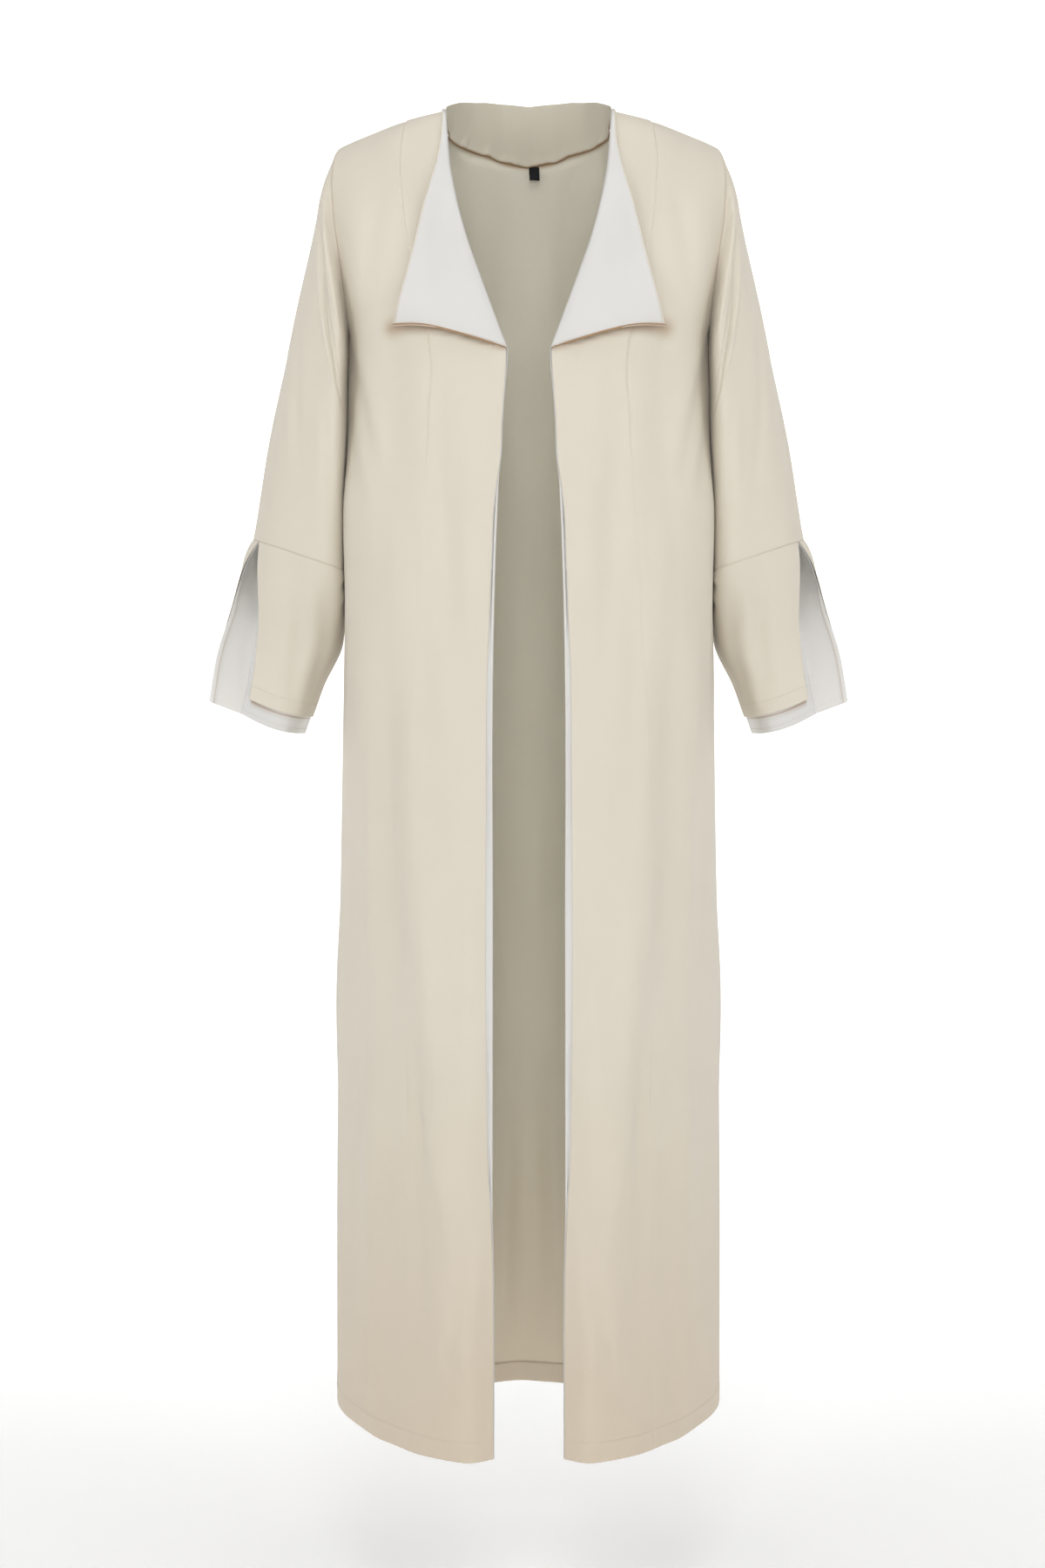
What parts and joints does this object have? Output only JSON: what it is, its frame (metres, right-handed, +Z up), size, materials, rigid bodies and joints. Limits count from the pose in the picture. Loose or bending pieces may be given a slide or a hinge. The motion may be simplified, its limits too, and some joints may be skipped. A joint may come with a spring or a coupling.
{
  "type": "abaya cloak",
  "caption": "Long open-front abaya cloak of plain crepe with satin-faced fold-back lapels, a standing back collar and long sleeves with split, lined cuffs, in hollow worn form.",
  "frame": {"origin": "middle of the shoulder line, between the two neck points, where the wearer's shoulders hold the cloak up", "axes": "+Z up, -Y the way the open front faces, +X towards the wearer's left"},
  "size_m": [0.7042, 0.3289, 1.4295],
  "materials": {
    "crepe": "matt",
    "satin": "soft sheen",
    "label": "matt"
  },
  "bodies": {
    "root": {"front_left": "crepe", "front_right": "crepe", "facing_left": "satin", "facing_right": "satin", "sleeve_left": "crepe", "sleeve_right": "crepe", "cuff_left": "crepe", "cuff_right": "crepe", "cuff_lining_left": "satin", "cuff_lining_right": "satin", "back": "crepe", "collar": "crepe", "label": "label"}
  },
  "joints": []
}
